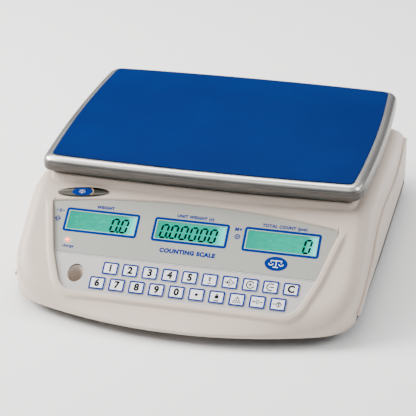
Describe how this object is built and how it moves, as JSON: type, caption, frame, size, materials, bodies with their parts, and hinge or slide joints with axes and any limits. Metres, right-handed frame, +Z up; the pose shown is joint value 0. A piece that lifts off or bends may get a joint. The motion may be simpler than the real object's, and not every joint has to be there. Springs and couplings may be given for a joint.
{
  "type": "counting scale",
  "caption": "Bench counting scale with a stainless pan under blue film, a sloping console with backlit displays, a keypad and a bubble level, on levelling feet.",
  "frame": {"origin": "centre of the footprint, on the surface the feet stand on", "axes": "+Z up, +Y from the console towards the back, +X to the right as the operator sees it"},
  "size_m": [0.308, 0.355, 0.11],
  "materials": {
    "housing": "fine satin texture, warm light grey",
    "base": "fine texture, black",
    "display_print": "matt printed film, mid grey",
    "keypad_print": "matt printed film, light grey",
    "window": "clear, smooth",
    "lcd": "backlit, glossy",
    "circuit_board": "solder mask, green",
    "led": "diffused, red",
    "badge": "polished, dark",
    "key_cap": "satin, near white",
    "vial": "clear with a yellow-green tint",
    "aluminium": "machined and cast, satin",
    "battery_case": "moulded, dark grey",
    "zinc": "zinc plated",
    "black_plastic": "moulded, black",
    "rubber": "matt, black",
    "pan_steel": "brushed with a polished rounded edge",
    "film": "thin protective film, satin, deep blue"
  },
  "bodies": {
    "housing": {"upper_cover": "housing", "lower_base": "base", "display_panel": "display_print", "display_window": "window", "lcd_weight": "lcd", "lcd_unit_weight": "lcd", "lcd_count": "lcd", "display_board": "circuit_board", "keypad_overlay": "keypad_print", "keypad_board": "circuit_board", "charge_led": "led", "name_badge": "badge", "level_vial": "vial", "load_cell": "aluminium", "load_cell_spacer": "aluminium", "battery": "battery_case", "battery_bracket": "zinc", "main_board": "circuit_board", "power_inlet": "black_plastic", "switch_housing": "black_plastic", "cover_screw_front_left": "zinc", "cover_screw_front_right": "zinc", "cover_screw_rear_left": "zinc", "cover_screw_rear_right": "zinc"},
    "platform": {"platform_spider": "aluminium", "platform_bush_front_left": "rubber", "platform_bush_front_right": "rubber", "platform_bush_rear_left": "rubber", "platform_bush_rear_right": "rubber"},
    "pan": {"weighing_pan": "pan_steel", "pan_film": "film"},
    "power_switch": {"switch_rocker": "black_plastic"},
    "key_1": {"key_1": "key_cap"},
    "key_2": {"key_2": "key_cap"},
    "key_3": {"key_3": "key_cap"},
    "key_4": {"key_4": "key_cap"},
    "key_5": {"key_5": "key_cap"},
    "key_unit_set": {"key_unit_set": "key_cap"},
    "key_tare_set": {"key_tare_set": "key_cap"},
    "key_memory_add": {"key_memory_add": "key_cap"},
    "key_memory_show": {"key_memory_show": "key_cap"},
    "key_clear": {"key_clear": "key_cap"},
    "key_6": {"key_6": "key_cap"},
    "key_7": {"key_7": "key_cap"},
    "key_8": {"key_8": "key_cap"},
    "key_9": {"key_9": "key_cap"},
    "key_0": {"key_0": "key_cap"},
    "key_point": {"key_point": "key_cap"},
    "key_unit_weight": {"key_unit_weight": "key_cap"},
    "key_sample": {"key_sample": "key_cap"},
    "key_zero": {"key_zero": "key_cap"},
    "key_tare": {"key_tare": "key_cap"},
    "foot_pad_front_left": {"foot_pad_front_left": "rubber"},
    "foot_screw_front_left": {"foot_screw_front_left": "black_plastic"},
    "foot_pad_front_right": {"foot_pad_front_right": "rubber"},
    "foot_screw_front_right": {"foot_screw_front_right": "black_plastic"},
    "foot_pad_rear_left": {"foot_pad_rear_left": "rubber"},
    "foot_screw_rear_left": {"foot_screw_rear_left": "black_plastic"},
    "foot_pad_rear_right": {"foot_pad_rear_right": "rubber"},
    "foot_screw_rear_right": {"foot_screw_rear_right": "black_plastic"}
  },
  "joints": [
    {"name": "platform_deflection", "type": "slide", "parent": "housing", "child": "platform", "axis": [0, 0, -1], "range_m": [0, 0.00025], "stiffness_N_per_m": 60000, "springref_m": -0.00025, "deforming": ["load_cell"]},
    {"name": "pan_lift", "type": "slide", "parent": "platform", "child": "pan", "axis": [0, 0, 1], "range_m": [0, 0.04]},
    {"name": "power_switch", "type": "hinge", "parent": "housing", "child": "power_switch", "pos_m": [0.1, -0.058, 0.0126], "axis": [0, 1, 0], "range_deg": [-16, 0]},
    {"name": "key_1_press", "type": "slide", "parent": "housing", "child": "key_1", "axis": [0, 0.5878, -0.809], "range_m": [0, 0.0005], "stiffness_N_per_m": 1500, "springref_m": -0.0001},
    {"name": "key_2_press", "type": "slide", "parent": "housing", "child": "key_2", "axis": [0, 0.5878, -0.809], "range_m": [0, 0.0005], "stiffness_N_per_m": 1500, "springref_m": -0.0001},
    {"name": "key_3_press", "type": "slide", "parent": "housing", "child": "key_3", "axis": [0, 0.5878, -0.809], "range_m": [0, 0.0005], "stiffness_N_per_m": 1500, "springref_m": -0.0001},
    {"name": "key_4_press", "type": "slide", "parent": "housing", "child": "key_4", "axis": [0, 0.5878, -0.809], "range_m": [0, 0.0005], "stiffness_N_per_m": 1500, "springref_m": -0.0001},
    {"name": "key_5_press", "type": "slide", "parent": "housing", "child": "key_5", "axis": [0, 0.5878, -0.809], "range_m": [0, 0.0005], "stiffness_N_per_m": 1500, "springref_m": -0.0001},
    {"name": "key_unit_set_press", "type": "slide", "parent": "housing", "child": "key_unit_set", "axis": [0, 0.5878, -0.809], "range_m": [0, 0.0005], "stiffness_N_per_m": 1500, "springref_m": -0.0001},
    {"name": "key_tare_set_press", "type": "slide", "parent": "housing", "child": "key_tare_set", "axis": [0, 0.5878, -0.809], "range_m": [0, 0.0005], "stiffness_N_per_m": 1500, "springref_m": -0.0001},
    {"name": "key_memory_add_press", "type": "slide", "parent": "housing", "child": "key_memory_add", "axis": [0, 0.5878, -0.809], "range_m": [0, 0.0005], "stiffness_N_per_m": 1500, "springref_m": -0.0001},
    {"name": "key_memory_show_press", "type": "slide", "parent": "housing", "child": "key_memory_show", "axis": [0, 0.5878, -0.809], "range_m": [0, 0.0005], "stiffness_N_per_m": 1500, "springref_m": -0.0001},
    {"name": "key_clear_press", "type": "slide", "parent": "housing", "child": "key_clear", "axis": [0, 0.5878, -0.809], "range_m": [0, 0.0005], "stiffness_N_per_m": 1500, "springref_m": -0.0001},
    {"name": "key_6_press", "type": "slide", "parent": "housing", "child": "key_6", "axis": [0, 0.5878, -0.809], "range_m": [0, 0.0005], "stiffness_N_per_m": 1500, "springref_m": -0.0001},
    {"name": "key_7_press", "type": "slide", "parent": "housing", "child": "key_7", "axis": [0, 0.5878, -0.809], "range_m": [0, 0.0005], "stiffness_N_per_m": 1500, "springref_m": -0.0001},
    {"name": "key_8_press", "type": "slide", "parent": "housing", "child": "key_8", "axis": [0, 0.5878, -0.809], "range_m": [0, 0.0005], "stiffness_N_per_m": 1500, "springref_m": -0.0001},
    {"name": "key_9_press", "type": "slide", "parent": "housing", "child": "key_9", "axis": [0, 0.5878, -0.809], "range_m": [0, 0.0005], "stiffness_N_per_m": 1500, "springref_m": -0.0001},
    {"name": "key_0_press", "type": "slide", "parent": "housing", "child": "key_0", "axis": [0, 0.5878, -0.809], "range_m": [0, 0.0005], "stiffness_N_per_m": 1500, "springref_m": -0.0001},
    {"name": "key_point_press", "type": "slide", "parent": "housing", "child": "key_point", "axis": [0, 0.5878, -0.809], "range_m": [0, 0.0005], "stiffness_N_per_m": 1500, "springref_m": -0.0001},
    {"name": "key_unit_weight_press", "type": "slide", "parent": "housing", "child": "key_unit_weight", "axis": [0, 0.5878, -0.809], "range_m": [0, 0.0005], "stiffness_N_per_m": 1500, "springref_m": -0.0001},
    {"name": "key_sample_press", "type": "slide", "parent": "housing", "child": "key_sample", "axis": [0, 0.5878, -0.809], "range_m": [0, 0.0005], "stiffness_N_per_m": 1500, "springref_m": -0.0001},
    {"name": "key_zero_press", "type": "slide", "parent": "housing", "child": "key_zero", "axis": [0, 0.5878, -0.809], "range_m": [0, 0.0005], "stiffness_N_per_m": 1500, "springref_m": -0.0001},
    {"name": "key_tare_press", "type": "slide", "parent": "housing", "child": "key_tare", "axis": [0, 0.5878, -0.809], "range_m": [0, 0.0005], "stiffness_N_per_m": 1500, "springref_m": -0.0001},
    {"name": "foot_height_front_left", "type": "slide", "parent": "housing", "child": "foot_pad_front_left", "axis": [0, 0, -1], "range_m": [0, 0.005]},
    {"name": "foot_turn_front_left", "type": "hinge", "parent": "foot_pad_front_left", "child": "foot_screw_front_left", "pos_m": [-0.118, -0.108, 0.0045], "axis": [0, 0, 1], "range_deg": [0, 1430]},
    {"name": "foot_height_front_right", "type": "slide", "parent": "housing", "child": "foot_pad_front_right", "axis": [0, 0, -1], "range_m": [0, 0.005]},
    {"name": "foot_turn_front_right", "type": "hinge", "parent": "foot_pad_front_right", "child": "foot_screw_front_right", "pos_m": [0.118, -0.108, 0.0045], "axis": [0, 0, 1], "range_deg": [0, 1430]},
    {"name": "foot_height_rear_left", "type": "slide", "parent": "housing", "child": "foot_pad_rear_left", "axis": [0, 0, -1], "range_m": [0, 0.005]},
    {"name": "foot_turn_rear_left", "type": "hinge", "parent": "foot_pad_rear_left", "child": "foot_screw_rear_left", "pos_m": [-0.118, 0.142, 0.0045], "axis": [0, 0, 1], "range_deg": [0, 1430]},
    {"name": "foot_height_rear_right", "type": "slide", "parent": "housing", "child": "foot_pad_rear_right", "axis": [0, 0, -1], "range_m": [0, 0.005]},
    {"name": "foot_turn_rear_right", "type": "hinge", "parent": "foot_pad_rear_right", "child": "foot_screw_rear_right", "pos_m": [0.118, 0.142, 0.0045], "axis": [0, 0, 1], "range_deg": [0, 1430]}
  ],
  "couplings": [
    {"joint": "foot_height_front_left", "follows": "foot_turn_front_left", "m_per_rad": 0.00019894},
    {"joint": "foot_height_front_right", "follows": "foot_turn_front_right", "m_per_rad": 0.00019894},
    {"joint": "foot_height_rear_left", "follows": "foot_turn_rear_left", "m_per_rad": 0.00019894},
    {"joint": "foot_height_rear_right", "follows": "foot_turn_rear_right", "m_per_rad": 0.00019894}
  ]
}
